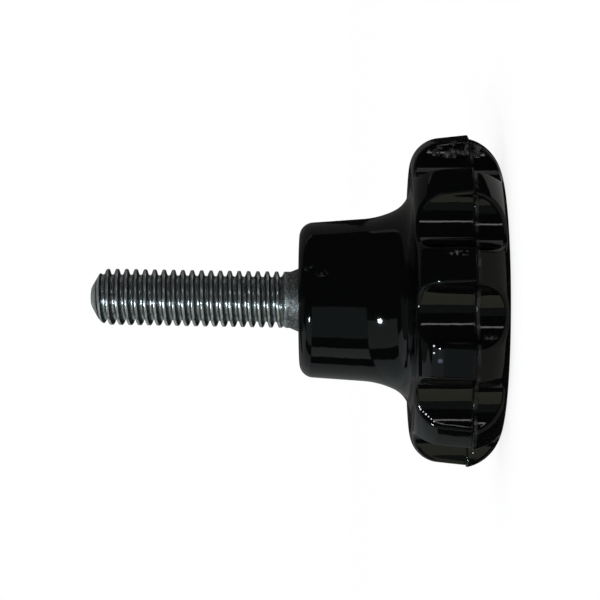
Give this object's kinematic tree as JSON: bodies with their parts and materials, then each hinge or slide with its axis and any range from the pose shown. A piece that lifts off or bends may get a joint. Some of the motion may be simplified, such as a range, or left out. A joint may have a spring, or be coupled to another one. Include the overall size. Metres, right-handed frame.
{
  "type": "fluted clamping knob screw",
  "caption": "Black moulded hand knob with scalloped finger flutes round its rim, a tapered hub and a zinc-plated steel screw standing out along its axis.",
  "frame": {"origin": "middle of the knob's front face, which the part stands on", "axes": "+Z from the front face along the screw to its tip; +X through the middle of one flute, and the way the screw leans by one degree; -X the way the front half of the moulding is offset"},
  "size_m": [0.0349, 0.035, 0.0435],
  "materials": {
    "black_moulding": "glossy black moulding compound with a faint parting line",
    "zinc_steel": "bright zinc-plated steel thread, a little dirty in the roots"
  },
  "bodies": {
    "root": {"knob": "black_moulding", "threaded_stud": "zinc_steel"}
  },
  "joints": []
}
